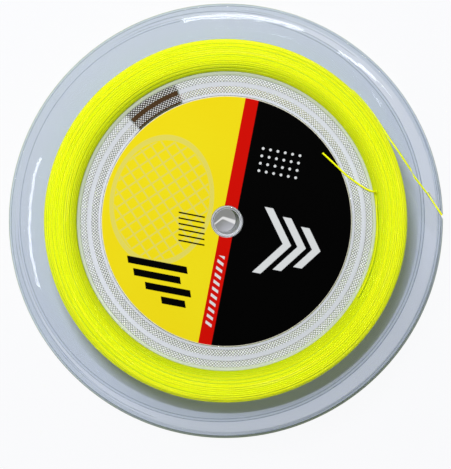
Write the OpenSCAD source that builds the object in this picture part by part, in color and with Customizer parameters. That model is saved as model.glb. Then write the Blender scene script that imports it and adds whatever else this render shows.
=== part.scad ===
// Two-part clear reel wound with racket string.
// The reel lies flat on its rear rim, with the spindle bore along +Z.
// Millimetres. The origin is on the bore's axis, in the plane the rear rim rests on.

/* [Flanges] */
// Outer diameter of the rims
rim_d = 150; // [140:1:170]
// Clear width of the channel between the two flanges
channel_w = 23; // [18:0.5:30]
// Thickness of a flange
flange_t = 1.5; // [1.2:0.1:2.5]
// Radial width of the thickened lip at the rim
lip_w = 8.5; // [7.6:0.1:10]
// Height of the lip above the flange's outer face
lip_h = 1; // [0.6:0.1:2]
// Radial width of the slope from the flange up to the lip's top
lip_slope_w = 5.5; // [2:0.1:6]
// Width of the shallow bevel on the lip's outer edge
lip_bevel_w = 0.9; // [0.4:0.1:1.2]
// Height of that bevel
lip_bevel_h = 0.35; // [0.2:0.05:0.5]
// Width of the chamfer on the rim's edge in the channel
rim_chamfer_w = 1.9; // [0.4:0.1:2.2]
// Height of that chamfer
rim_chamfer_h = 0.5; // [0.2:0.05:0.8]

/* [Barrel] */
// Outer diameter of the barrel that the string is wound on
barrel_d = 103.2; // [96:0.2:108]
// Thickness of the barrel's wall
barrel_wall = 1; // [0.9:0.1:2]
// Radial thickness of the tongue that lines up the two halves
tongue_t = 0.4; // [0.3:0.05:0.5]
// Length of the tongue past the seam
tongue_l = 1.2; // [0.6:0.1:3]
// Clearance round the tongue and at its end
tongue_clear = 0.1; // [0.05:0.05:0.2]

/* [Hub face] */
// Thickness of the hub's face
face_t = 1.5; // [1:0.1:2.5]
// Depth of the hub's face below the flange's outer face
face_recess = 1; // [0.5:0.1:1.5]
// Height of the two raised bands on the hub's face
band_h = 0.25; // [0.1:0.05:0.4]
// Radial width of the outer band
outer_band_w = 2.2; // [1.2:0.1:2.6]
// Radial width of the smooth ring between the bands
band_gap = 1.6; // [1:0.1:2]
// Radial width of the inner band
inner_band_w = 2.3; // [1.2:0.1:2.6]

/* [Spindle tube] */
// Diameter of the spindle bore
bore_d = 8.8; // [6:0.1:16]
// Thickness of the tube's wall
tube_wall = 0.9; // [0.8:0.1:2]
// Height of the tube's end above the hub's face
tube_proud = 0.6; // [0.3:0.1:0.9]

/* [Labels] */
// Diameter of a label
label_d = 86.8; // [70:0.2:87.6]
// Thickness of a label
label_t = 0.2; // [0.1:0.05:0.4]
// Depth of the seat that a label is stuck into
seat_depth = 0.2; // [0.1:0.05:0.5]
// Clearance round a label in its seat
label_clear = 0.2; // [0.1:0.05:0.5]

/* [Core tape] */
// Thickness of the tape
tape_t = 0.15; // [0.1:0.05:0.3]
// Width of the tape across the hub's face
tape_face_w = 6.6; // [4:0.1:8]
// Length of the tape's leg down the barrel
tape_drop = 8; // [3:0.5:9]
// Angle that the tape covers round the hub
tape_span = 23; // [10:1:40]
// Angle of the tape's middle from the +X axis
tape_at = 122; // [60:1:180]
// Gap between the tape and the barrel's inner wall
tape_gap = 0.1; // [0.05:0.05:0.3]

/* [String] */
// Diameter of the string
string_d = 0.68; // [0.6:0.01:0.72]
// Depth of the wound string over the barrel
wound_depth = 11.7; // [10.5:0.1:14]
// Gap between the wound string and the reel
wound_gap = 0.1; // [0.1:0.05:0.4]
// Rounding of the winding's outer edges
wound_round = 3; // [2:0.1:4.6]
// Radial width of the rounding of the winding's inner edges
wound_foot_w = 5.8; // [2:0.1:5.8]
// Depth of that rounding
wound_foot_h = 4; // [1:0.1:4]

/* [String anchorage] */
// Diameter of the hole in the front flange for the string's start
start_hole_d = 1.8; // [1.6:0.1:2.2]
// Angle of the start hole from the +X axis
start_hole_at = 11.2;
// Gap between the barrel and the start hole
start_hole_gap = 0.1; // [0.05:0.05:0.3]
// Width of the slit in the front rim that holds the string's end
slit_w = 0.9; // [0.75:0.05:1.5]
// Length of the slit, along the string
slit_l = 9; // [7:0.5:10]

/* [Hidden] */
$fn = 128;
eps = 0.01;

rim_r = rim_d / 2;
barrel_r = barrel_d / 2;
barrel_in_r = barrel_r - barrel_wall;
bore_r = bore_d / 2;
tube_r = bore_r + tube_wall;
label_r = label_d / 2;
seat_r = label_r + label_clear;
seat_in_r = tube_r + label_clear;

// Heights of one half, above the seam between the two halves
flange_in_z = channel_w / 2;
flange_out_z = flange_in_z + flange_t;
lip_z = flange_out_z + lip_h;
face_out_z = flange_out_z - face_recess;
face_in_z = face_out_z - face_t;
tube_z = face_out_z + tube_proud;

// Height of the seam above the plane that the reel rests on
seam_z = lip_z;

// Bands on the hub's face, inner and outer radius of each
outer_band = [barrel_in_r - outer_band_w, barrel_in_r];
inner_band = [outer_band[0] - band_gap - inner_band_w, outer_band[0] - band_gap];

wound_in_r = barrel_r + wound_gap;
wound_out_r = barrel_r + wound_depth;
wound_half_w = channel_w / 2 - wound_gap;

start_hole_r = barrel_r + start_hole_gap + start_hole_d / 2;

string_sides = 8;
quarter_steps = 10;
// Route of the string's start: along the foot of the barrel, up through the
// hole in the front flange, and over the hub's face to its cut end
start_route = [
    [45.6, -26.4, 25], [47.8, -22.2, 25], [49.5, -18, 25], [51.1, -12.8, 25], [52.1, -7.3, 25],
    [52.4, -1.8, 25], [52.1, 3.7, 25], [52, 6.4, 25], [51.9, 8.6, 25], [51.8, 9.3, 25.15],
    [51.7, 9.8, 25.6], [51.6, 10.15, 26.3], [51.3, 10.25, 26.95], [50.8, 10.35, 27.4],
    [50.1, 10.5, 27.55], [48.8, 11, 27.35], [46.9, 12.1, 27], [44.8, 13.5, 26.7], [42.9, 14.9, 26.5],
    [41, 16.4, 26.4], [38.8, 18.5, 26.4], [36, 21.1, 26.4], [33.1, 23.8, 26.4]
];
// Route of the string's free end: round the winding, across the channel, and
// through the slit in the front rim
end_route = [
    [44.3, 45.8, 18.4], [47.4, 42.6, 18.5], [50, 39.5, 18.7], [52.3, 36.4, 18.9], [54.4, 33.2, 19.2],
    [56.5, 29.9, 19.8], [58.7, 26.6, 20.5], [60.9, 23.3, 21.2], [63, 20, 22], [65.2, 16.7, 22.8],
    [67.4, 13.4, 23.7], [69.6, 10.1, 24.8], [71.7, 6.7, 26.1], [73.9, 3.3, 27.4]
];

// The slit follows the last stretch of the free end
slit_from = end_route[len(end_route) - 3];
slit_to = end_route[len(end_route) - 1];
slit_angle = atan2(slit_to[1] - slit_from[1], slit_to[0] - slit_from[0]);

clear_plastic = [0.80, 0.84, 0.89, 0.45];
label_yellow = [0.93, 0.88, 0.10];
tape_brown = [0.37, 0.27, 0.16];
string_lime = [0.91, 1.00, 0.16];

// ---- shapes in the plane of radius and height ----

// A ring's section from radius r0 to r1 and from height z0 to z1
module section(r0, r1, z0, z1) {
    translate([r0, z0]) square([r1 - r0, z1 - z0]);
}

// The thickened lip, with a slope up from the flange, a bevelled outer edge and
// a chamfered edge in the channel
module lip_section() {
    lip_in_r = rim_r - lip_w;
    polygon([[lip_in_r, flange_in_z], [rim_r - rim_chamfer_w, flange_in_z],
             [rim_r, flange_in_z + rim_chamfer_h], [rim_r, lip_z - lip_bevel_h],
             [rim_r - lip_bevel_w, lip_z], [lip_in_r + lip_slope_w, lip_z], [lip_in_r, flange_out_z]]);
}

// Flange, barrel wall, hub face and spindle tube, above the seam
module half_section() {
    section(barrel_in_r, rim_r - lip_w, flange_in_z, flange_out_z);
    lip_section();
    section(barrel_in_r, barrel_r, 0, flange_out_z);
    difference() {
        union() {
            section(tube_r - eps, barrel_in_r + eps, face_in_z, face_out_z);
            for (band = [outer_band, inner_band])
                section(band[0], band[1], face_in_z, face_out_z + band_h);
        }
        section(seat_in_r, seat_r, face_out_z - seat_depth, face_out_z + band_h + 1);
    }
    section(bore_r, tube_r, 0, tube_z);
}

module half_body() {
    rotate_extrude() half_section();
}

// ---- pieces ----

module front_half() {
    color(clear_plastic)
    translate([0, 0, seam_z])
    difference() {
        union() {
            half_body();
            rotate_extrude()
                section(barrel_in_r, barrel_in_r + tongue_t, -tongue_l, eps);
        }
        rotate(start_hole_at) translate([start_hole_r, 0, flange_in_z - 1])
            cylinder(d = start_hole_d, h = flange_t + 2);
        translate([slit_from[0], slit_from[1], flange_in_z - 1]) rotate(slit_angle)
            translate([0, -slit_w / 2, 0]) cube([slit_l + lip_w, slit_w, flange_t + lip_h + 2]);
    }
}

module rear_half() {
    color(clear_plastic)
    translate([0, 0, seam_z])
    mirror([0, 0, 1])
    difference() {
        half_body();
        translate([0, 0, -eps]) difference() {
            cylinder(r = barrel_in_r + tongue_t + tongue_clear, h = tongue_l + tongue_clear + eps);
            translate([0, 0, -1]) cylinder(r = barrel_in_r - 1, h = tongue_l + tongue_clear + 3);
        }
    }
}

module label() {
    translate([0, 0, face_out_z - seat_depth])
    difference() {
        cylinder(r = label_r, h = label_t);
        translate([0, 0, -1]) cylinder(r = seat_in_r, h = label_t + 2);
    }
}

module front_label() {
    color(label_yellow) translate([0, 0, seam_z]) label();
}

module rear_label() {
    color(label_yellow) translate([0, 0, seam_z]) mirror([0, 0, 1]) label();
}

// Tape stuck under the hub's face and down the inside of the barrel
module core_tape() {
    tape_out_r = barrel_in_r - tape_gap;
    color(tape_brown)
    translate([0, 0, seam_z]) rotate(tape_at - tape_span / 2)
    rotate_extrude(angle = tape_span) {
        section(tape_out_r - tape_face_w, tape_out_r, face_in_z - tape_t, face_in_z);
        section(tape_out_r - tape_t, tape_out_r, face_in_z - tape_drop, face_in_z);
    }
}

// Points of a quarter of an ellipse of the given half sizes, round a middle
function quarter(middle, size, from) =
    [for (k = [0 : quarter_steps])
        let (a = from + 90 * k / quarter_steps)
        middle + [size[0] * cos(a), size[1] * sin(a)]];

// Outer shape of the wound string
module string_winding() {
    foot = [wound_foot_w, wound_foot_h];
    edge = [wound_round, wound_round];
    foot_r = wound_in_r + foot[0];
    edge_r = wound_out_r - edge[0];
    color(string_lime)
    translate([0, 0, seam_z]) rotate_extrude()
    polygon(concat(
        quarter([edge_r, wound_half_w - edge[1]], edge, 0),
        quarter([foot_r, wound_half_w - foot[1]], foot, 90),
        quarter([foot_r, foot[1] - wound_half_w], foot, 180),
        quarter([edge_r, edge[1] - wound_half_w], edge, 270)));
}

// ---- free stretches of string ----

function unit(v) = v / norm(v);
// Direction of a route at point i
function heading(path, i) =
    unit(path[min(i + 1, len(path) - 1)] - path[max(i - 1, 0)]);
// A side vector that turns as little as it can from point to point
function side_vector(path, i) =
    i == 0 ? unit(cross(heading(path, 0), [0, 0, 1]))
           : let (t = heading(path, i), s = side_vector(path, i - 1)) unit(s - (s * t) * t);

// A round cord swept along a route
module cord(path, d) {
    rings = [for (i = [0 : len(path) - 1])
        let (t = heading(path, i), s = side_vector(path, i), n = cross(t, s))
        [for (k = [0 : string_sides - 1])
            let (a = 360 * k / string_sides)
            path[i] + d / 2 * (cos(a) * s + sin(a) * n)]];
    last = len(path) - 1;
    polyhedron(
        points = [for (ring = rings) for (p = ring) p],
        faces = concat(
            [[for (k = [0 : string_sides - 1]) k]],
            [for (i = [0 : last - 1]) for (k = [0 : string_sides - 1])
                let (k2 = (k + 1) % string_sides)
                [i * string_sides + k, (i + 1) * string_sides + k,
                 (i + 1) * string_sides + k2, i * string_sides + k2]],
            [[for (k = [string_sides - 1 : -1 : 0]) last * string_sides + k]]));
}

module string_start() {
    color(string_lime) cord(start_route, string_d);
}

module string_end() {
    color(string_lime) cord(end_route, string_d);
}

front_half();
rear_half();
front_label();
rear_label();
core_tape();
string_winding();
string_start();
string_end();
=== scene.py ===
"""Clear two-part reel wound with racket string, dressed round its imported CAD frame.

Everything is in metres in the CAD frame: the reel lies on its rear rim, with the spindle bore along +Z.
"""

import math
import random

import bpy
import numpy as np
from mathutils import Matrix, Quaternion, Vector


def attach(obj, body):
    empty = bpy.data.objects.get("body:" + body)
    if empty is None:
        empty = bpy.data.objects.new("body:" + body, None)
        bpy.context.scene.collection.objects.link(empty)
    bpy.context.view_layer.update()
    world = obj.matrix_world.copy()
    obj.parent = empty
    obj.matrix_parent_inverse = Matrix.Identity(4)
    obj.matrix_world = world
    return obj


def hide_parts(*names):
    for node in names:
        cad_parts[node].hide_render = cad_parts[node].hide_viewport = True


bl_info = {
    "name": "String Reel",
    "version": (1, 0, 0),
    "blender": (4, 5, 0),
    "location": "3D View > Sidebar > String Reel",
    "description": "Builds a clear reel of racket string with its labels, on a plain studio floor",
    "category": "Add Mesh",
}

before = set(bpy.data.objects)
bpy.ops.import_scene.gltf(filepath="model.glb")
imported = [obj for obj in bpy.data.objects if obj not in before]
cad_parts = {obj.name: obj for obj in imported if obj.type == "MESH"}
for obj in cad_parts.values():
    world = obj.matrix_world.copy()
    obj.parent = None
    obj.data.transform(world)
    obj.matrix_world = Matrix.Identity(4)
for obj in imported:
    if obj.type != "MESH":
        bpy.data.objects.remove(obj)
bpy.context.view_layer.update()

MM = 0.001

# Radii and heights of the reel in millimetres, as in the CAD source.
SEAM_Z = 14.0
RIM_R = 75.0
LIP_IN_R = 66.5
LIP_TOP_R = 72.0
# Bevel on the lip and chamfer in the channel, each as width and height
LIP_BEVEL = (0.9, 0.35)
RIM_CHAMFER = (1.9, 0.5)
# How far the lip's slope bulges from straight, which is only in the scene, and the steps that draw it
LIP_CROWN = 0.08
SLOPE_STEPS = 8
BARREL_R = 51.6
BARREL_IN_R = 50.6
TONGUE_R = 51.0
TONGUE_Z = 12.8
GROOVE_R = 51.1
GROOVE_Z = 12.7
OUTER_BAND = (48.4, 50.6)
INNER_BAND = (44.5, 46.8)
SEAT_R = 43.6
LABEL_R = 43.4
LABEL_HOLE_R = 5.5
TUBE_R = 5.3
BORE_R = 4.4
FLANGE_IN_Z = 25.5
FLANGE_OUT_Z = 27.0
LIP_Z = 28.0
FACE_IN_Z = 24.5
FACE_Z = 26.0
BAND_Z = 26.25
SEAT_Z = 25.8
TUBE_Z = 26.6
# Each half stops this short of the seam, so that the two surfaces don't lie in each other.
SEAM_GAP = 0.02

WOUND_IN_R = 51.7
WOUND_OUT_R = 63.3
WOUND_HALF_W = 11.4
# Roundings of the winding's outer and inner edges, each as width and height
WOUND_EDGE = (3.0, 3.0)
WOUND_FOOT = (5.8, 4.0)
STRING_R = 0.34

START_HOLE = (52.6, 11.2, 0.9)
SLIT_FROM = (69.6, 10.1)
SLIT_TO = (73.9, 3.3)
SLIT_SIZE = (17.5, 0.9)
HOLE_SIDES = 32

# Routes of the two free stretches of string in millimetres, as in the CAD source but for the last
# point of the end's route, which runs on to the rim's edge.
START_ROUTE = (
    (45.6, -26.4, 25), (47.8, -22.2, 25), (49.5, -18, 25), (51.1, -12.8, 25), (52.1, -7.3, 25),
    (52.4, -1.8, 25), (52.1, 3.7, 25), (52, 6.4, 25), (51.9, 8.6, 25), (51.8, 9.3, 25.15),
    (51.7, 9.8, 25.6), (51.6, 10.15, 26.3), (51.3, 10.25, 26.95), (50.8, 10.35, 27.4),
    (50.1, 10.5, 27.55), (48.8, 11, 27.35), (46.9, 12.1, 27), (44.8, 13.5, 26.7),
    (42.9, 14.9, 26.5), (41, 16.4, 26.4), (38.8, 18.5, 26.4), (36, 21.1, 26.4), (33.1, 23.8, 26.4),
)
END_ROUTE = (
    (44.3, 45.8, 18.4), (47.4, 42.6, 18.5), (50, 39.5, 18.7), (52.3, 36.4, 18.9), (54.4, 33.2, 19.2),
    (56.5, 29.9, 19.8), (58.7, 26.6, 20.5), (60.9, 23.3, 21.2), (63, 20, 22), (65.2, 16.7, 22.8),
    (67.4, 13.4, 23.7), (69.6, 10.1, 24.8), (71.7, 6.7, 26.1), (73.9, 3.3, 27.4), (74.65, 2.13, 27.55),
)


# ---------------------------------------------------------------- shader maths


class Value:
    """A number socket of a node tree. Arithmetic on it adds Math nodes."""

    def __init__(self, nodes, socket):
        self.nodes = nodes
        self.socket = socket

    def maths(self, operation, *terms):
        return self.nodes.add("ShaderNodeMath", {"operation": operation}, dict(enumerate(terms)))

    def __add__(self, other):
        return self.maths("ADD", self, other)

    __radd__ = __add__

    def __mul__(self, other):
        return self.maths("MULTIPLY", self, other)

    __rmul__ = __mul__

    def __sub__(self, other):
        return self.maths("SUBTRACT", self, other)

    def __rsub__(self, other):
        return self.maths("SUBTRACT", other, self)

    def __truediv__(self, other):
        return self.maths("DIVIDE", self, other)

    def __neg__(self):
        return self.maths("MULTIPLY", self, -1.0)

    def __abs__(self):
        return self.maths("ABSOLUTE", self)

    def __gt__(self, other):
        return self.maths("GREATER_THAN", self, other)

    def __and__(self, other):
        return self.maths("MULTIPLY", self, other)

    def __or__(self, other):
        return self.maths("MAXIMUM", self, other)

    def wrap(self, step):
        """The distance to the nearest multiple of step."""
        return self.maths("PINGPONG", self, step / 2)

    def soft_step(self, start, end):
        """0 before start and 1 after end, smooth between them; end may lie before start."""
        turned = start > end
        low, high = (end, start) if turned else (start, end)
        up = self.nodes.add(
            "ShaderNodeMapRange",
            {"interpolation_type": "SMOOTHSTEP"},
            {"Value": self, "From Min": low, "From Max": high},
        )
        return 1 - up if turned else up

    def root(self):
        return self.maths("SQRT", self)

    def least(self, other):
        return self.maths("MINIMUM", self, other)


class Nodes:
    """The node tree of one material or of the world, with one way to add a node to it."""

    def __init__(self, owner):
        owner.use_nodes = True
        self.tree = owner.node_tree
        self.tree.nodes.clear()

    def add(self, kind, settings=None, sockets=None, output=0):
        """Adds a node, sets its settings and then its sockets, and gives one output as a Value."""
        node = self.tree.nodes.new(kind)
        for name, value in (settings or {}).items():
            if name == "stops":
                stops = node.color_ramp.elements
                while len(stops) < len(value):
                    stops.new(1.0)
                for stop, (place, colour) in zip(stops, value):
                    stop.position = place
                    stop.color = (*colour, 1.0)
            else:
                setattr(node, name, value)
        for name, value in (sockets or {}).items():
            if isinstance(value, Value):
                self.tree.links.new(value.socket, node.inputs[name])
            else:
                node.inputs[name].default_value = value
        return Value(self, node.outputs[output]) if len(node.outputs) else None

    def mix(self, amount, first, second):
        """A colour that goes from first to second as amount goes from 0 to 1."""
        a, b = (c if isinstance(c, Value) else (*c, 1.0) for c in (first, second))
        return self.add(
            "ShaderNodeMix",
            {"data_type": "RGBA"},
            {0: amount, 6: a, 7: b},
            output=2,
        )

    def noise(self, scale, detail=2.0, roughness=0.5, place=None):
        """Noise from 0 to 1. Scale is in waves per millimetre, where place is in millimetres."""
        return self.add(
            "ShaderNodeTexNoise",
            {"noise_dimensions": "3D"},
            {"Vector": place or self.place(), "Scale": scale, "Detail": detail, "Roughness": roughness},
        )

    def place(self, stretch=(1.0, 1.0, 1.0)):
        """The point on the object in millimetres, scaled by stretch."""
        point = self.add("ShaderNodeTexCoord", output=3)
        return self.add(
            "ShaderNodeVectorMath",
            {"operation": "MULTIPLY"},
            {0: point, 1: [s / MM for s in stretch]},
        )

    def axes(self, place=None):
        """The three coordinates of a place."""
        place = place or self.place()
        return [self.add("ShaderNodeSeparateXYZ", {}, {0: place}, output=axis) for axis in "XYZ"]

    def round_axes(self):
        """The radius, the angle in radians and the height of the point on the object."""
        x, y, z = self.axes()
        return (x * x + y * y).root(), y.maths("ARCTAN2", y, x), z

    def joined(self, x, y, z):
        return self.add("ShaderNodeCombineXYZ", {}, {0: x, 1: y, 2: z})

    def bump(self, height, distance):
        """A normal from a height; distance is the depth in metres of a height of 1."""
        return self.add("ShaderNodeBump", {}, {"Height": height, "Distance": distance})

    def ray(self, kind):
        """1 for rays of one kind of the Light Path node."""
        return self.add("ShaderNodeLightPath", output=kind)

    def principled(self, **sockets):
        """The principled shader. Socket names have _ for a space."""
        named = {name.replace("_", " "): value for name, value in sockets.items()}
        return self.add("ShaderNodeBsdfPrincipled", {}, named)

    def mix_shader(self, amount, first, second):
        return self.add("ShaderNodeMixShader", {}, {0: amount, 1: first, 2: second})

    def finish(self, shader):
        self.add("ShaderNodeOutputMaterial", {}, {"Surface": shader})

    def surface(self, **sockets):
        """The principled shader as the material's surface."""
        self.finish(self.principled(**sockets))


def material(name, looks):
    made = bpy.data.materials.new(name)
    looks(Nodes(made))
    return made


def linear(colour):
    """A colour written as it appears on a screen, from 0 to 255, as linear light."""
    return tuple(
        c / 255 / 12.92 if c / 255 <= 0.04045 else ((c / 255 + 0.055) / 1.055) ** 2.4
        for c in colour
    )


# ---------------------------------------------------------------- mesh helpers


# Distance past a rounding at which a further point keeps the flat beside it flat
ROUNDING_GUARD = 0.06


def rounded(corners, steps=4):
    """Points of an outline whose corners are (radius, height, rounding)."""
    points = []
    for i, (r, z, rounding) in enumerate(corners):
        corner = Vector((r, z))
        if not rounding:
            points.append((r, z))
            continue
        back = Vector(corners[i - 1][:2]) - corner
        ahead = Vector(corners[(i + 1) % len(corners)][:2]) - corner
        half_turn = back.angle(ahead) / 2
        reach = rounding / math.tan(half_turn)
        reach = min(reach, back.length * 0.499, ahead.length * 0.499)
        radius = reach * math.tan(half_turn)
        middle = corner + (back.normalized() + ahead.normalized()).normalized() * (
            radius / math.sin(half_turn)
        )
        start = corner + back.normalized() * reach - middle
        end = corner + ahead.normalized() * reach - middle
        sweep = start.angle_signed(end)
        if back.length > 3 * (reach + ROUNDING_GUARD):
            points.append(tuple(corner + back.normalized() * (reach + ROUNDING_GUARD)))
        for k in range(steps + 1):
            turned = start.copy()
            turned.rotate(Matrix.Rotation(-sweep * k / steps, 2))
            points.append(tuple(middle + turned))
        if ahead.length > 3 * (reach + ROUNDING_GUARD):
            points.append(tuple(corner + ahead.normalized() * (reach + ROUNDING_GUARD)))
    return points


SMOOTH_ANGLE = 32.0


def finished(name, points, faces, smooth_angle=SMOOTH_ANGLE):
    """An object from points in millimetres and faces, smooth but for edges sharper than the angle."""
    mesh = bpy.data.meshes.new(name)
    mesh.from_pydata([[c * MM for c in p] for p in points], [], faces)
    mesh.polygons.foreach_set("use_smooth", [True] * len(mesh.polygons))
    mesh.update()
    mesh.set_sharp_from_angle(angle=math.radians(smooth_angle))
    made = bpy.data.objects.new(name, mesh)
    bpy.context.scene.collection.objects.link(made)
    return made


def dress(piece, look, slot, *stands_for):
    """Gives a piece its material and its body, and hides the CAD nodes that it stands for. The slot is not
    used.
    """
    piece.data.materials.clear()
    piece.data.materials.append(look)
    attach(piece, "root")
    if stands_for:
        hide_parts(*stands_for)
    return piece


def cut(piece, cutter):
    """Takes the cutter's shape out of the piece."""
    change = piece.modifiers.new("cut", "BOOLEAN")
    change.operation = "DIFFERENCE"
    change.solver = "EXACT"
    change.object = cutter
    seen = piece.evaluated_get(bpy.context.evaluated_depsgraph_get())
    old, piece.data = piece.data, bpy.data.meshes.new_from_object(seen)
    piece.data.set_sharp_from_angle(angle=math.radians(SMOOTH_ANGLE))
    piece.modifiers.clear()
    bpy.data.meshes.remove(old)
    bpy.data.objects.remove(cutter)


# ---------------------------------------------------------------- clear plastic halves


# Points along one diamond of the knurl, and the plain edge at each side of a knurled band
KNURL_STEPS = 2
KNURL_EDGE = 0.04
# Angles that the tape covers
TAPE_FROM, TAPE_TO = math.radians(110.5), math.radians(133.5)
# Rows of points that keep the cuts of the start hole and the slit off the rest of the flange
HOLE_ROW_R = 54.4
SLIT_ROW_R = 65.8


def half_outline(sizes, front):
    """The section of a half as (radius, height, knurl row) with the front's heights.

    The row is -1 where the surface is plain.
    """
    seam = SEAM_Z + SEAM_GAP
    down = [(BARREL_IN_R, TONGUE_Z, 0.1), (TONGUE_R, TONGUE_Z, 0.1), (TONGUE_R, seam, 0)]
    if not front:
        groove = 2 * SEAM_Z - GROOVE_Z
        down = [(GROOVE_R, groove, 0), (GROOVE_R, seam, 0)]
    slope = []
    for k in range(1, SLOPE_STEPS):
        t = k / SLOPE_STEPS
        rise = (LIP_Z - FLANGE_OUT_Z) * (1 - t) + 4 * LIP_CROWN * t * (1 - t)
        slope.append((LIP_TOP_R + (LIP_IN_R - LIP_TOP_R) * t, FLANGE_OUT_Z + rise, 0))
    first = [
        *down,
        (BARREL_R, seam, 0),
        (BARREL_R, FLANGE_IN_Z, 0.35),
        (HOLE_ROW_R, FLANGE_IN_Z, 0),
        (SLIT_ROW_R, FLANGE_IN_Z, 0),
        (RIM_R - RIM_CHAMFER[0], FLANGE_IN_Z, 0.3),
        (RIM_R, FLANGE_IN_Z + RIM_CHAMFER[1], 0.2),
        (RIM_R, LIP_Z - LIP_BEVEL[1], 0.2),
        (RIM_R - LIP_BEVEL[0], LIP_Z, 0.3),
        (LIP_TOP_R, LIP_Z, 0.4),
        *slope,
        (LIP_IN_R, FLANGE_OUT_Z, 0.4),
        (SLIT_ROW_R, FLANGE_OUT_Z, 0),
        (HOLE_ROW_R, FLANGE_OUT_Z, 0),
        (BARREL_IN_R, FLANGE_OUT_Z, 0.2),
    ]
    outline = [(r, z, -1) for r, z in rounded(first)]
    if not front:
        outline = [(BARREL_IN_R, 2 * SEAM_Z - GROOVE_Z, -1), *outline]
    for low, high in (OUTER_BAND, INNER_BAND):
        rows = sizes.knurl_rows * KNURL_STEPS
        foot = BAND_Z - sizes.knurl_depth / MM
        outline.append((high, foot, -1))
        for k in range(rows + 1):
            outline.append((high - KNURL_EDGE - (high - low - 2 * KNURL_EDGE) * k / rows, foot, k))
        outline.append((low, FACE_Z, -1))
    rest = [
        (SEAT_R, FACE_Z, 0.06),
        (SEAT_R, SEAT_Z, 0.06),
        (LABEL_HOLE_R, SEAT_Z, 0),
        (TUBE_R, FACE_Z, 0.1),
        (TUBE_R, TUBE_Z, 0.25),
        (BORE_R, TUBE_Z, 0.25),
        (BORE_R, seam, 0),
        (TUBE_R, seam, 0),
        (TUBE_R, FACE_IN_Z, 0.4),
        (BARREL_IN_R, FACE_IN_Z, 0.4),
    ]
    before = [(OUTER_BAND[0], FACE_Z, 0)]
    after = [(BARREL_IN_R, TONGUE_Z, 0)]
    points = rounded([*before, *rest, *after], 3)
    outline.extend((r, z, -1) for r, z in points[1:-1])
    return outline


def tent(x):
    """A triangle wave from 0 at whole numbers to 1 half way between them."""
    return 1 - abs(2 * (x % 1.0) - 1)


def half(sizes, name, front):
    """A lathed half with the diamond knurl of its two bands in the mesh."""
    outline = half_outline(sizes, front)
    turns = sizes.knurl_count * KNURL_STEPS
    depth = sizes.knurl_depth / MM
    points, faces = [], []
    for r, z, row in outline:
        for i in range(turns):
            a = 2 * math.pi * i / turns
            lift = 0.0
            if row >= 0:
                u, v = i / KNURL_STEPS, row / KNURL_STEPS
                lift = depth * min(tent(u + v), tent(u - v))
            height = z + lift
            points.append((r * math.cos(a), r * math.sin(a), height if front else 2 * SEAM_Z - height))
    count = len(outline)
    for j in range(count):
        k = (j + 1) % count
        knurled = outline[j][2] >= 0 and outline[k][2] >= 0
        for i in range(turns):
            n = (i + 1) % turns
            quad = (j * turns + i, j * turns + n, k * turns + n, k * turns + i)
            if not front:
                quad = quad[::-1]
            if not knurled:
                faces.append(quad)
                continue
            a, b, c, d = quad
            even = (i + outline[j][2]) % 2 == 0
            if not front:
                a, b, c, d = d, c, b, a
            split = [(a, b, c), (a, c, d)] if even else [(a, b, d), (b, c, d)]
            faces.extend(f if front else f[::-1] for f in split)
    return finished(name, points, faces)


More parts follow.
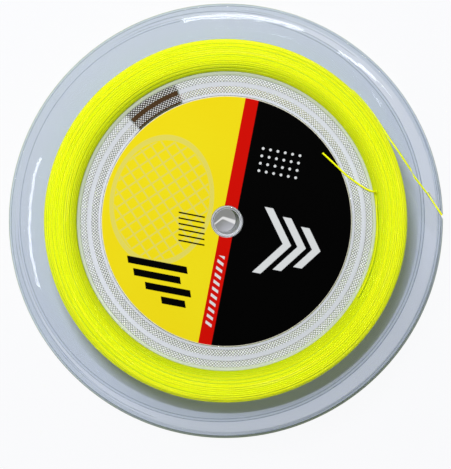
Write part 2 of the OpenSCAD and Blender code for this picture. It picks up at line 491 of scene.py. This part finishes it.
def clear_plastic(sizes, front):
    """Clear moulded plastic with a faint blue tint, frosted on the knurl and rubbed along the rim."""

    def looks(nodes):
        radius, angle, z = nodes.round_axes()
        height = abs(z - SEAM_Z)
        on_face = height.soft_step(FACE_Z - SEAM_Z - 0.2, FACE_Z - SEAM_Z - 0.1)
        hub = on_face & radius.soft_step(SEAT_R - 0.1, SEAT_R)
        hub = hub & radius.soft_step(BARREL_IN_R + 0.1, BARREL_IN_R - 0.05)
        around = angle * (sizes.knurl_count / (2 * math.pi))
        taped = angle.soft_step(TAPE_FROM - 0.01, TAPE_FROM + 0.01)
        taped = taped & angle.soft_step(TAPE_TO + 0.01, TAPE_TO - 0.01)
        knurl, tips, line = 0.0, 0.0, 0.0
        for low, high in (OUTER_BAND, INNER_BAND):
            here = hub & radius.soft_step(low - 0.02, low + 0.02)
            here = here & radius.soft_step(high + 0.02, high - 0.02)
            across = (high - KNURL_EDGE - radius) * (sizes.knurl_rows / (high - low - 2 * KNURL_EDGE))
            tip = (around + across).wrap(1.0).least((around - across).wrap(1.0)) - 0.1 * taped
            tip = tip.soft_step(0.05, 0.14)
            knurl = here | knurl
            tips = (here & tip) | tips
            # painted shade: a thin dark line at the inner edge of each knurled band
            line = abs(radius - (low + 0.1)).soft_step(0.18, 0.1) | line
        # painted shade: dark lines on the rim's edge and the lip's bevel make the edges of the rim darker to
        # look into, and the barrel's frost takes on the string's colour as a painted reflection of the string
        # behind its wall
        bevel = abs(radius - (RIM_R - LIP_BEVEL[0] + 0.1)).soft_step(0.16, 0.08)
        bevel = bevel & (height > FLANGE_OUT_Z - SEAM_Z + 0.5)
        edge = radius.soft_step(RIM_R - 0.2, RIM_R - 0.1) | bevel
        barrel = radius.soft_step(BARREL_IN_R - 0.1, BARREL_IN_R - 0.02)
        barrel = barrel & radius.soft_step(BARREL_R + 0.15, BARREL_R + 0.05)
        cloud = nodes.noise(0.05, 2.0)
        tint = nodes.mix(cloud, (0.93, 0.95, 0.985), (0.955, 0.965, 0.985))
        # painted shade: the knurl's grooves, darker still over the tape, and the lines at the bands' edges
        # are painted dark into the plastic's tint
        tint = nodes.mix((knurl & (1 - tips) & (0.5 + 0.5 * taped)) | (hub & line), tint, (0.09, 0.10, 0.14))
        # painted shade at the rim's edge and the lip's bevel
        tint = nodes.mix(0.75 * edge, tint, (0.16, 0.22, 0.34))
        waves = nodes.noise(0.06, 1.0)
        rubs = nodes.noise(0.9, 5.0, 0.7, nodes.joined(radius, angle * 6.0, z))
        rubbed = rubs.soft_step(0.6, 0.75)
        glass = nodes.principled(
            Base_Color=tint,
            Roughness=0.015 + 0.06 * rubbed,
            IOR=1.5,
            Transmission_Weight=1.0,
            Normal=nodes.bump(waves + 0.02 * rubs, 0.00005),
        )
        haze_and_string_tint = nodes.mix(knurl, (0.80, 0.82, 0.90), (0.95, 0.97, 1.0))
        # painted reflection: the barrel's frost in the string's colour
        haze_and_string_tint = nodes.mix(barrel, haze_and_string_tint, (0.86, 0.93, 0.74))
        frost = nodes.principled(Base_Color=haze_and_string_tint, Roughness=0.35, Specular_IOR_Level=0.6)
        specks = nodes.noise(1.6, 3.0, 0.6).soft_step(0.72, 0.76) & radius.soft_step(70.0, 73.5)
        # the moulded haze is gone where the tape wets the face
        smooth_hub = 0.74 * hub & (1 - knurl) & (1 - taped) & (1 - line)
        knurled = tips & (1 - 0.15 * taped)
        # painted highlights: frost on the boss, brighter down the bore's wall and in thin rings at the bore's
        # and the tube's edges, stands for glints there
        boss = radius.soft_step(TUBE_R + 0.45, TUBE_R + 0.3) & (
            (0.22 + 0.15 * rubs.soft_step(0.45, 0.6))
            | (0.5 * height.soft_step(TUBE_Z - SEAM_Z - 0.2, TUBE_Z - SEAM_Z - 0.6))
            | (0.8 * abs(radius - (BORE_R + 0.12)).soft_step(0.16, 0.06))
            | (0.8 * abs(radius - (TUBE_R - 0.12)).soft_step(0.16, 0.06))
        )
        haze_and_highlights = smooth_hub | knurled | boss | (0.5 * barrel) | (0.5 * specks)
        shader = nodes.mix_shader(haze_and_highlights, glass, frost)
        # lamps and light thrown back by what is near reach through the plastic
        clear = nodes.add("ShaderNodeBsdfTransparent", {}, {"Color": (0.955, 0.965, 0.98, 1.0)})
        for kind in ("Is Diffuse Ray", "Is Shadow Ray"):
            shader = nodes.mix_shader(nodes.ray(kind), shader, clear)
        nodes.finish(shader)

    return material("clear_plastic_front" if front else "clear_plastic_rear", looks)


# ---------------------------------------------------------------- string


def string_look(name, wound):
    """Bright yellow-green string that glows a little, a painted glow that is brighter on what is near it,
    each turn a shade of its own.
    """

    def looks(nodes):
        if wound:
            radius, angle, z = nodes.round_axes()
            tone = nodes.noise(0.9, 3.0, 0.6, nodes.joined(radius, angle * 1.2, z))
        else:
            tone = nodes.noise(0.3, 2.0)
        fine = nodes.noise(3.0, 4.0, 0.6)
        colour = nodes.mix(tone.soft_step(0.35, 0.65), (0.90, 0.97, 0.0), (1.0, 1.0, 0.004))
        colour = nodes.mix(tone.soft_step(0.62, 0.74), colour, (1.0, 1.0, 0.06))
        if wound:
            # painted shade: the turns next to the barrel are darkened towards the inner corner
            colour = nodes.mix(0.4 * radius.soft_step(57.0, 52.4), colour, (0.2, 0.3, 0.0))
        nodes.surface(
            Base_Color=colour,
            Roughness=0.18 + 0.14 * fine,
            Specular_IOR_Level=0.5,
            Specular_Tint=(1.0, 1.0, 0.45, 1.0),
            # painted light: the string glows though it is no lamp, and more strongly for diffuse rays, so the
            # shade near it turns green
            Emission_Color=nodes.mix(nodes.ray("Is Diffuse Ray"), (0.7, 0.9, 0.0), (0.9, 1.7, 0.0)),
            Emission_Strength=0.11,
            Normal=nodes.bump(fine, 0.00002),
        )

    return material(name, looks)


# Steps of one rounding of the winding's section, and points of one turn of the strand and of the
# ring under it
ROUNDING_STEPS = 16
TURN_POINTS = 132
CORE_POINTS = 192
# Sides of the strand, and points that the section is read at
STRAND_SIDES = 8
SECTION_POINTS = 4000


def wound_outline(inset):
    """The winding's section moved in by inset, as points from its inner foot round the front."""
    points = []
    for inner, up, start in ((True, 1, 180), (False, 1, 90), (False, -1, 0), (True, -1, -90)):
        across, deep = (size - inset for size in (WOUND_FOOT if inner else WOUND_EDGE))
        r = WOUND_IN_R + inset + across if inner else WOUND_OUT_R - inset - across
        z = SEAM_Z + up * (WOUND_HALF_W - inset - deep)
        for k in range(ROUNDING_STEPS + 1):
            a = math.radians(start - 90 * k / ROUNDING_STEPS)
            points.append((r + across * math.cos(a), z + deep * math.sin(a)))
    return points


def spaced(outline, count):
    """That many points evenly round a closed outline, with the outward normal at each."""
    ring = np.array([*outline, outline[0]])
    steps = np.linalg.norm(np.diff(ring, axis=0), axis=1)
    along = np.concatenate([[0.0], np.cumsum(steps)])
    at = np.linspace(0, along[-1], count, endpoint=False)
    r = np.interp(at, along, ring[:, 0])
    z = np.interp(at, along, ring[:, 1])
    tangent = np.stack([np.gradient(r), np.gradient(z)], 1)
    tangent /= np.linalg.norm(tangent, axis=1)[:, None]
    return np.stack([r, z], 1), np.stack([-tangent[:, 1], tangent[:, 0]], 1), along[-1]


def waver(rng, length, waves):
    """A smooth random curve from about -1 to 1 over that many samples."""
    at = np.linspace(0, 1, length, endpoint=False)
    total = np.zeros(length)
    for _ in range(waves):
        pitch = rng.uniform(0.2, 1.0) * waves
        total += rng.uniform(0.4, 1.0) * np.sin(2 * math.pi * (pitch * at * 4 + rng.random()))
    return total / (0.75 * math.sqrt(waves))


def wound_string(sizes):
    """The winding's outer layer: one long strand laid turn beside turn round the whole section."""
    rng = np.random.default_rng(sizes.wander_seed)
    outline = wound_outline(STRING_R)
    _, _, perimeter = spaced(outline, 64)
    turns = int(perimeter / (2 * STRING_R * sizes.strand_pitch))
    sides = STRAND_SIDES
    fine, normals, _ = spaced(outline, SECTION_POINTS)
    total = turns * TURN_POINTS
    share = np.arange(total) / total
    angle = 2 * math.pi * np.arange(total) / TURN_POINTS
    drift = sizes.strand_wander * waver(rng, total, 60) / perimeter
    sink = 0.5 * sizes.strand_wander * waver(rng, total, 90)
    at = ((share + drift) % 1.0) * SECTION_POINTS
    low = np.floor(at).astype(int) % SECTION_POINTS
    blend = (at - np.floor(at))[:, None]
    spot = fine[low] * (1 - blend) + fine[(low + 1) % SECTION_POINTS] * blend
    normal = normals[low]
    centre = spot - normal * np.abs(sink)[:, None]
    section = 2 * math.pi * np.arange(sides) / sides
    r = centre[:, 0:1] + STRING_R * np.cos(section)[None, :]
    z = centre[:, 1:2] + STRING_R * np.sin(section)[None, :]
    x, y = r * np.cos(angle)[:, None], r * np.sin(angle)[:, None]
    points = np.stack([x, y, z], 2).reshape(-1, 3)
    faces = []
    for i in range(total - 1):
        for k in range(sides):
            n = (k + 1) % sides
            faces.append((i * sides + k, i * sides + n, (i + 1) * sides + n, (i + 1) * sides + k))
    faces.append(tuple(range(sides))[::-1])
    faces.append(tuple(range((total - 1) * sides, total * sides)))
    return finished("wound_string", points.tolist(), faces, 60.0)


def wound_core():
    """The string under the outer turns."""
    outline = wound_outline(STRING_R * 0.75)
    turns = CORE_POINTS
    points = [
        (r * math.cos(2 * math.pi * i / turns), r * math.sin(2 * math.pi * i / turns), z)
        for r, z in outline
        for i in range(turns)
    ]
    count = len(outline)
    faces = [
        (j * turns + i, ((j + 1) % count) * turns + i, ((j + 1) % count) * turns + (i + 1) % turns,
         j * turns + (i + 1) % turns)
        for j in range(count)
        for i in range(turns)
    ]
    return finished("wound_core", points, faces)


def core_shade_look(nodes):
    """The string between and under the turns, painted darker as shade."""
    lines = nodes.noise(1.4, 3.0)
    colour = nodes.mix(lines, (0.52, 0.70, 0.0), (0.78, 0.92, 0.01))
    nodes.surface(Base_Color=colour, Roughness=0.5 + 0.2 * lines, IOR=1.5)


def free_string(name, route):
    """A round cord as a curve through the points of its route."""
    curve = bpy.data.curves.new(name, "CURVE")
    curve.dimensions = "3D"
    curve.bevel_depth = STRING_R * MM
    curve.bevel_resolution = 3
    curve.use_fill_caps = True
    line = curve.splines.new("BEZIER")
    line.bezier_points.add(len(route) - 1)
    line.resolution_u = 5
    for point, place in zip(line.bezier_points, route):
        point.co = [c * MM for c in place]
        point.handle_left_type = point.handle_right_type = "AUTO"
    made = bpy.data.objects.new(name, curve)
    bpy.context.scene.collection.objects.link(made)
    return made


# ---------------------------------------------------------------- labels and tape


# Points round a label's edge
LABEL_POINTS = 256


def label_disc(name, front):
    """A die-cut paper disc with soft edges."""
    bottom, top = SEAT_Z + 0.012, SEAT_Z + 0.2
    corners = [
        (LABEL_HOLE_R + 0.05, bottom, 0),
        (LABEL_R, bottom, 0),
        (LABEL_R, top, 0.07),
        (LABEL_HOLE_R + 0.05, top, 0.07),
    ]
    outline = rounded(corners, 3)
    turns = LABEL_POINTS
    points = []
    for r, z in outline:
        for i in range(turns):
            a = 2 * math.pi * i / turns
            points.append((r * math.cos(a), r * math.sin(a), z if front else 2 * SEAM_Z - z))
    faces = []
    count = len(outline)
    for j in range(count):
        k = (j + 1) % count
        for i in range(turns):
            n = (i + 1) % turns
            quad = (j * turns + i, j * turns + n, k * turns + n, k * turns + i)
            faces.append(quad if front else quad[::-1])
    return finished(name, points, faces)


def label_print(colours, front):
    """Printed paper: a yellow and a black field with a red band between them, and plain geometric marks."""

    def looks(nodes):
        x, y, _ = nodes.axes()
        if not front:
            x = -x
        radius = (x * x + y * y).root()
        lean = math.radians(11.0)
        across = x * math.cos(lean) - y * math.sin(lean) - 0.5
        along = x * math.sin(lean) + y * math.cos(lean)
        edge = 0.09

        def band(value, low, high):
            return value.soft_step(low - edge, low + edge) & value.soft_step(high + edge, high - edge)

        # pale string-bed lattice over the yellow field
        left, right = across + along, across - along
        lattice = band(left.wrap(5.2), -1.0, 0.42) | band(right.wrap(5.2), -1.0, 0.42)
        bed_x, bed_y = across + 24.0, along - 3.0
        bed = ((bed_x * bed_x) + (bed_y * bed_y) * 0.62).root()
        inside = bed.soft_step(16.3, 16.1)
        hoop = band(bed, 16.4, 17.9)
        pale = (lattice & inside) | hoop
        field = nodes.noise(0.035, 1.0)
        yellow = nodes.mix(field, colours["yellow"], colours["deep_yellow"])
        ground = nodes.mix(pale, yellow, colours["pale_yellow"])
        # four bars with slanted ends over the lattice, each as its lower edge and its two ends
        bars = None
        for low, start, end in (
            (-20.4, -38.5, -17.5), (-24.3, -37.0, -20.5), (-28.2, -33.5, -17.5), (-32.1, -28.5, -20.0),
        ):
            bar = band(along, low, low + 2.4) & band(across + 0.35 * along, start, end)
            bars = bar if bars is None else bars | bar
        ground = nodes.mix(bars, ground, colours["black"])
        # a block of fine lines beside the boss
        fine = band(along.wrap(1.9), -1.0, 0.26) & band(along, -10.2, 0.9)
        fine = fine & band(across + 0.18 * along, -17.5, -8.3)
        ground = nodes.mix(fine, ground, colours["black"])
        # chevrons in the black field
        tip = abs(along + 4.0) * 0.75 + across
        chevrons = None
        for k in range(3):
            mark = band(tip, 20.0 + 5.2 * k, 23.0 + 5.2 * k) & band(abs(along + 4.0), -1.0, 11.5 - 2.2 * k)
            chevrons = mark if chevrons is None else chevrons | mark
        dark = nodes.mix(chevrons, colours["black"], colours["silver"])
        dots_x, dots_y = (across - 7.0).wrap(2.6), (along - 22.0).wrap(2.6)
        dots = (dots_x * dots_x + dots_y * dots_y).root().soft_step(0.55, 0.40)
        dots = dots & band(across, 5.7, 21.3) & band(along, 18.1, 28.5)
        dark = nodes.mix(dots, dark, colours["silver"])
        printed = nodes.mix(across.soft_step(-edge, edge), ground, dark)
        printed = nodes.mix(band(across, -2.3, 2.3), printed, colours["red"])
        # a row of slanted ticks down the red band's lower half
        ticks = band((along + 0.5 * across).wrap(2.4), -1.0, 0.5) & band(across, -1.15, 1.15)
        ticks = ticks & band(along, -37.0, -12.0)
        printed = nodes.mix(ticks, printed, colours["silver"])
        paper = radius.soft_step(LABEL_R - 0.28, LABEL_R - 0.14)
        printed = nodes.mix(paper, printed, colours["paper"])
        grain = nodes.noise(2.6, 3.0, 0.6)
        nodes.surface(
            Base_Color=printed,
            Roughness=0.42 + 0.12 * grain,
            Specular_IOR_Level=0.03,
            Normal=nodes.bump(grain, 0.000012),
        )

    return material("front_label_print" if front else "rear_label_print", looks)


# Seed of the tape's ripples, columns across it, steps along each flat and round the bend between them
TAPE_SEED = 5
TAPE_COLUMNS = 28
TAPE_STEPS = 8
BEND_STEPS = 4
# The tape's thickness, the radius of its bend and how far it goes down the barrel
TAPE_T = 0.15
TAPE_BEND = 0.6
TAPE_DROP = 8


def tape_strip():
    """A strip of tape stuck under the hub's face and down the inside of the barrel, with ripples."""
    rng = random.Random(TAPE_SEED)
    face_z, out_r, in_r = FACE_IN_Z - 0.01, 50.47, 43.95
    bend, steps = TAPE_BEND, TAPE_STEPS
    path = [(in_r + (out_r - bend - in_r) * k / steps, face_z) for k in range(steps + 1)]
    path += [
        (out_r - bend + bend * math.sin(t), face_z - bend + bend * math.cos(t))
        for t in (math.pi / (2 * BEND_STEPS) * k for k in range(1, BEND_STEPS + 1))
    ]
    path += [(out_r, face_z - bend - (TAPE_DROP - bend) * k / steps) for k in range(1, steps + 1)]
    columns = TAPE_COLUMNS
    ripple = [rng.uniform(-0.03, 0.0) for _ in range(columns + 1)]
    points, faces = [], []
    for layer in (0.0, TAPE_T):
        for n, (r, z) in enumerate(path):
            for c in range(columns + 1):
                on_face, on_wall = n <= steps, n > steps + BEND_STEPS
                inset = 0.008 * (1 - n / len(path)) if on_face else 0.0
                a = TAPE_FROM + inset + (TAPE_TO - TAPE_FROM - 2 * inset) * c / columns
                dr = 0.0 if on_face else -layer if on_wall else -layer * 0.7
                dz = -layer if on_face else 0.0 if on_wall else -layer * 0.7
                points.append(((r + dr) * math.cos(a), (r + dr) * math.sin(a), z + dz + ripple[c]))
    row = columns + 1
    sheet = len(path) * row
    for n in range(len(path) - 1):
        for c in range(columns):
            q = (n * row + c, n * row + c + 1, (n + 1) * row + c + 1, (n + 1) * row + c)
            faces.append(q[::-1])
            faces.append(tuple(v + sheet for v in q))
    for c in range(columns):
        faces.append((c, c + 1, c + 1 + sheet, c + sheet))
        e = (len(path) - 1) * row + c
        faces.append((e + 1, e, e + sheet, e + 1 + sheet))
    for n in range(len(path) - 1):
        a, b = n * row, (n + 1) * row
        faces.append((b, a, a + sheet, b + sheet))
        a, b = a + columns, b + columns
        faces.append((a, b, b + sheet, a + sheet))
    return finished("brown_tape", points, faces)


def tape_look(nodes):
    fibres = nodes.noise(1.2, 4.0, 0.6, nodes.place((1.0, 0.15, 1.0)))
    colour = nodes.mix(fibres, (0.055, 0.026, 0.008), (0.10, 0.050, 0.017))
    nodes.surface(
        Base_Color=colour,
        Roughness=0.5 + 0.2 * fibres,
        Specular_IOR_Level=0.1,
        Normal=nodes.bump(fibres, 0.00003),
    )


# ---------------------------------------------------------------- properties


class ReelSizes(bpy.types.PropertyGroup):
    """Sizes of the reel's fine detail."""

    knurl_count: bpy.props.IntProperty(
        name="Knurl diamonds", description="Diamonds in one turn of a knurled band", default=280, min=40
    )
    knurl_rows: bpy.props.IntProperty(
        name="Knurl rows", description="Rows of diamonds across a knurled band", default=2, min=1
    )
    knurl_depth: bpy.props.FloatProperty(
        name="Knurl depth", description="Height of the diamonds", default=0.0003, unit="LENGTH", precision=5
    )
    strand_pitch: bpy.props.FloatProperty(
        name="Strand pitch", description="Spacing of the turns, in string diameters", default=1.0, min=0.9
    )
    strand_wander: bpy.props.FloatProperty(
        name="Strand wander", description="How far a turn strays from its place, in millimetres", default=0.1
    )
    wander_seed: bpy.props.IntProperty(
        name="Wander seed", description="Picks another winding of the same neatness", default=7
    )


class LabelColours(bpy.types.PropertyGroup):
    """Printing inks of the labels."""

    yellow: bpy.props.FloatVectorProperty(
        name="Yellow", description="The bright field", subtype="COLOR", size=3, default=linear((236, 222, 28))
    )
    deep_yellow: bpy.props.FloatVectorProperty(
        name="Deep yellow", description="The bright field's deeper tone", subtype="COLOR", size=3,
        default=linear((235, 211, 16)),
    )
    pale_yellow: bpy.props.FloatVectorProperty(
        name="Pale yellow", description="The lattice on the bright field", subtype="COLOR", size=3,
        default=linear((221, 211, 92)),
    )
    red: bpy.props.FloatVectorProperty(
        name="Red", description="The band between the fields", subtype="COLOR", size=3,
        default=linear((203, 12, 3)),
    )
    black: bpy.props.FloatVectorProperty(
        name="Black", description="The dark field", subtype="COLOR", size=3, default=linear((1, 1, 1))
    )
    silver: bpy.props.FloatVectorProperty(
        name="Silver", description="The marks on the dark field", subtype="COLOR", size=3,
        default=linear((214, 217, 218)),
    )
    paper: bpy.props.FloatVectorProperty(
        name="Paper", description="The unprinted edge", subtype="COLOR", size=3,
        default=linear((232, 226, 205)),
    )

    def inks(self):
        names = ("yellow", "deep_yellow", "pale_yellow", "red", "black", "silver", "paper")
        return {name: tuple(getattr(self, name)) for name in names}


class StudioSettings(bpy.types.PropertyGroup):
    """Camera, lamps and floor."""

    camera_place: bpy.props.FloatVectorProperty(
        name="Camera", description="Where the camera stands", subtype="TRANSLATION", size=3,
        default=(-0.0364, 0.0204, 0.718),
    )
    camera_aim: bpy.props.FloatVectorProperty(
        name="Aim", description="The point that the camera looks at", subtype="TRANSLATION", size=3,
        default=(-0.0006, -0.0044, 0.028),
    )
    lens: bpy.props.FloatProperty(
        name="Lens", description="Focal length in millimetres", default=153.8, unit="CAMERA"
    )
    key: bpy.props.FloatProperty(name="Key lamp", description="Power of the main softbox", default=5.9)
    strips: bpy.props.FloatProperty(name="Strips", description="Power of each strip of light", default=0.9)
    sky: bpy.props.FloatProperty(name="Sky", description="Strength of the even light", default=0.12)
    floor: bpy.props.FloatVectorProperty(
        name="Floor", description="Colour of the floor", subtype="COLOR", size=3, default=(0.665, 0.69, 0.85)
    )


# ---------------------------------------------------------------- operators


class REEL_OT_camera(bpy.types.Operator):
    """Sets the camera above the reel"""

    bl_idname = "reel.camera"
    bl_label = "Camera"

    def execute(self, context):
        studio = context.scene.reel_studio
        camera = bpy.data.objects.new("camera", bpy.data.cameras.new("camera"))
        context.scene.collection.objects.link(camera)
        place = Vector(studio.camera_place)
        ahead = (Vector(studio.camera_aim) - place).normalized()
        right = ahead.cross(Vector((0, 1, 0))).normalized()
        turned = Matrix((right, right.cross(ahead), -ahead)).transposed().to_4x4()
        camera.matrix_world = Matrix.Translation(place) @ turned
        camera.data.lens = studio.lens
        camera.data.sensor_width = 36.0
        camera.data.clip_start = 0.01
        context.scene.camera = camera
        return {"FINISHED"}


class REEL_OT_free_strings(bpy.types.Operator):
    """Lays the string's start over the hub and its end through the rim"""

    bl_idname = "reel.free_strings"
    bl_label = "Free strings"

    def execute(self, context):
        look = string_look("free_string_look", False)
        start = dress(free_string("string_start_free", START_ROUTE), look, "string", "string_start")
        end = dress(free_string("string_end_free", END_ROUTE), look, "string", "string_end")
        return {"FINISHED"}


class REEL_OT_halves(bpy.types.Operator):
    """Builds the two clear halves, with the hole and the slit in the front one"""

    bl_idname = "reel.halves"
    bl_label = "Clear halves"

    def execute(self, context):
        sizes = context.scene.reel_sizes
        front = half(sizes, "clear_front_half", True)
        r, at, hole_r = START_HOLE
        a = math.radians(at)
        sides = HOLE_SIDES
        ring = [(2 * math.pi * k / sides) for k in range(sides)]
        points = [
            (r * math.cos(a) + hole_r * math.cos(t), r * math.sin(a) + hole_r * math.sin(t), z)
            for z in (FLANGE_IN_Z - 1, FLANGE_OUT_Z + 1)
            for t in ring
        ]
        faces = [(k, (k + 1) % sides, sides + (k + 1) % sides, sides + k) for k in range(sides)]
        faces += [tuple(range(sides))[::-1], tuple(range(sides, 2 * sides))]
        cut(front, finished("hole_cutter", points, faces))
        along = (Vector(SLIT_TO) - Vector(SLIT_FROM)).normalized()
        side = Vector((-along.y, along.x)) * SLIT_SIZE[1] / 2
        begin, stop = Vector(SLIT_FROM), Vector(SLIT_FROM) + along * SLIT_SIZE[0]
        foot = [begin - side, stop - side, stop + side, begin + side]
        points = [(p.x, p.y, z) for z in (FLANGE_IN_Z - 1, LIP_Z + 1) for p in foot]
        faces = [(3, 2, 1, 0), (4, 5, 6, 7)]
        faces += [(k, (k + 1) % 4, 4 + (k + 1) % 4, 4 + k) for k in range(4)]
        cut(front, finished("slit_cutter", points, faces))
        dress(front, clear_plastic(sizes, True), "clear_plastic", "front_half")
        rear = half(sizes, "clear_rear_half", False)
        dress(rear, clear_plastic(sizes, False), "clear_plastic", "rear_half")
        return {"FINISHED"}


class REEL_OT_winding(bpy.types.Operator):
    """Winds the string on the barrel, turn beside turn"""

    bl_idname = "reel.winding"
    bl_label = "Wound string"

    def execute(self, context):
        wound = wound_string(context.scene.reel_sizes)
        dress(wound, string_look("wound_string_look", True), "string", "string_winding")
        dress(wound_core(), material("wound_core_look", core_shade_look), "string")
        return {"FINISHED"}


class REEL_OT_labels(bpy.types.Operator):
    """Sticks a printed label on each side of the hub"""

    bl_idname = "reel.labels"
    bl_label = "Labels"

    def execute(self, context):
        inks = context.scene.reel_label.inks()
        for front in (True, False):
            side = "front" if front else "rear"
            disc = label_disc(f"{side}_paper_label", front)
            dress(disc, label_print(inks, front), "label_paper", f"{side}_label")
        return {"FINISHED"}


class REEL_OT_tape(bpy.types.Operator):
    """Sticks the strip of brown tape under the hub's face"""

    bl_idname = "reel.tape"
    bl_label = "Core tape"

    def execute(self, context):
        dress(tape_strip(), material("brown_tape_look", tape_look), "brown_tape", "core_tape")
        return {"FINISHED"}


LAMP_DISTANCE = 0.9
# Softboxes, which nothing mirrors, as name, elevation in degrees and share of the key's power
KEY_SOFTBOXES = (("key_softbox", 72, 1.0), ("low_softbox", 52, 0.3))
KEY_AZIMUTH = 120
KEY_SIZE = (0.2, 0.2)
# Strips that are only mirrored, as name, start and end in degrees, width, share of the power and
# number of lamps
LIGHT_ARCS = (
    ("top_strip", (57, 72.3), (94, 73.6), 0.03, 1.0, 5),
    ("right_strip", (27, 71.5), (47, 70.5), 0.015, 0.3, 3),
    ("side_strip", (163, 71.9), (207, 71.2), 0.016, 1.0, 5),
)
FLOOR_HALF = 4000
FLOOR_Z = -0.05


class REEL_OT_stage(bpy.types.Operator):
    """Sets up the floor, the lamps and the even light"""

    bl_idname = "reel.stage"
    bl_label = "Stage"

    def softbox(self, context, name, azimuth, elevation, size, power, roll=0.0):
        data = bpy.data.lights.new(name, "AREA")
        data.shape = "RECTANGLE"
        data.size, data.size_y = size
        data.energy = power
        lamp = bpy.data.objects.new(name, data)
        a, e = math.radians(azimuth), math.radians(elevation)
        way = Vector((math.cos(a) * math.cos(e), math.sin(a) * math.cos(e), math.sin(e)))
        lamp.location = way * LAMP_DISTANCE
        lamp.rotation_mode = "QUATERNION"
        faced = (-lamp.location).to_track_quat("-Z", "Y")
        lamp.rotation_quaternion = faced @ Quaternion((0, 0, 1), roll)
        lamp.visible_camera = False
        context.scene.collection.objects.link(lamp)
        return lamp

    def light_arc(self, context, name, start, stop, width, power, count):
        """A bent strip of light that only glossy surfaces mirror, as short straight lamps."""
        turn, rise = (stop[0] - start[0]) / count, (stop[1] - start[1]) / count
        for k in range(count):
            azimuth, elevation = start[0] + turn * (k + 0.5), start[1] + rise * (k + 0.5)
            level = LAMP_DISTANCE * math.cos(math.radians(elevation))
            length = 2 * level * math.tan(math.radians(turn / 2))
            roll = -math.atan2(LAMP_DISTANCE * math.radians(rise), length)
            lamp = self.softbox(
                context, f"{name}_{k}", azimuth, elevation, (length, width), power / count, roll
            )
            lamp.visible_diffuse = False

    def execute(self, context):
        studio = context.scene.reel_studio
        for name, elevation, share in KEY_SOFTBOXES:
            lamp = self.softbox(context, name, KEY_AZIMUTH, elevation, KEY_SIZE, share * studio.key)
            lamp.visible_glossy = False
            lamp.visible_transmission = False
        for name, start, stop, width, share, count in LIGHT_ARCS:
            self.light_arc(context, name, start, stop, width, share * studio.strips, count)

        corners = ((-1, -1), (1, -1), (1, 1), (-1, 1))
        points = [(FLOOR_HALF * x, FLOOR_HALF * y, FLOOR_Z) for x, y in corners]
        floor = finished("studio_floor", points, [(0, 1, 2, 3)])

        def floor_look(nodes):
            # the floor glows where it is seen clear of the reel; down the bore it glows weakly, a painted
            # light that lifts the shaded floor there, and a bent streak drawn inside the bore is a painted
            # highlight
            x, y, _ = nodes.axes()
            side = x + 0.16
            fold_highlight = abs(y - 0.72 + 0.605 * (side * side + 0.1).root() - 0.215 * side)
            radius = (x * x + y * y).root()
            fold_highlight = (fold_highlight / (0.55 + 0.08 * x)).soft_step(1.2, 0.5) & radius.soft_step(6.5, 6.0)
            # painted light down the bore, and the painted highlight of the bent streak
            clear = 0.24 + 0.5 * fold_highlight
            clear = clear | (0.88 * radius.soft_step(30.0, 60.0))
            bent = nodes.ray("Is Glossy Ray") | nodes.ray("Is Transmission Ray")
            seen = (clear & nodes.ray("Is Camera Ray")) | (0.07 * bent)
            lit = nodes.add("ShaderNodeBsdfDiffuse", {}, {"Color": (*studio.floor, 1.0)})
            glow = nodes.add("ShaderNodeEmission", {}, {"Color": (1, 1, 1, 1), "Strength": 1.0})
            nodes.finish(nodes.mix_shader(seen, lit, glow))

        floor.data.materials.append(material("floor_paper", floor_look))

        world = bpy.data.worlds.new("studio_world")
        context.scene.world = world
        nodes = Nodes(world)
        strength = studio.sky * (1 - 0.65 * nodes.ray("Is Glossy Ray"))
        strength = strength + (1.0 - studio.sky) * nodes.ray("Is Camera Ray")
        sky = nodes.add("ShaderNodeBackground", {}, {"Color": (1, 1, 1, 1), "Strength": strength})
        nodes.add("ShaderNodeOutputWorld", {}, {"Surface": sky})
        context.scene.view_settings.view_transform = "Standard"
        return {"FINISHED"}


class REEL_PT_panel(bpy.types.Panel):
    """Lists the steps that build the reel"""

    bl_idname = "REEL_PT_panel"
    bl_label = "String Reel"
    bl_space_type = "VIEW_3D"
    bl_region_type = "UI"
    bl_category = "String Reel"

    def draw(self, context):
        column = self.layout.column()
        for step in STEPS:
            column.operator(step.bl_idname)


STEPS = (
    REEL_OT_camera,
    REEL_OT_free_strings,
    REEL_OT_halves,
    REEL_OT_winding,
    REEL_OT_labels,
    REEL_OT_tape,
    REEL_OT_stage,
)
GROUPS = {"reel_sizes": ReelSizes, "reel_label": LabelColours, "reel_studio": StudioSettings}


def register():
    for group in GROUPS.values():
        bpy.utils.register_class(group)
    for name, group in GROUPS.items():
        setattr(bpy.types.Scene, name, bpy.props.PointerProperty(type=group))
    for step in (*STEPS, REEL_PT_panel):
        bpy.utils.register_class(step)


def unregister():
    for step in (REEL_PT_panel, *reversed(STEPS)):
        bpy.utils.unregister_class(step)
    for name in GROUPS:
        delattr(bpy.types.Scene, name)
    for group in reversed(GROUPS.values()):
        bpy.utils.unregister_class(group)


def main():
    register()
    for step in STEPS:
        family, name = step.bl_idname.split(".")
        getattr(getattr(bpy.ops, family), name)()


if __name__ == "__main__":
    main()
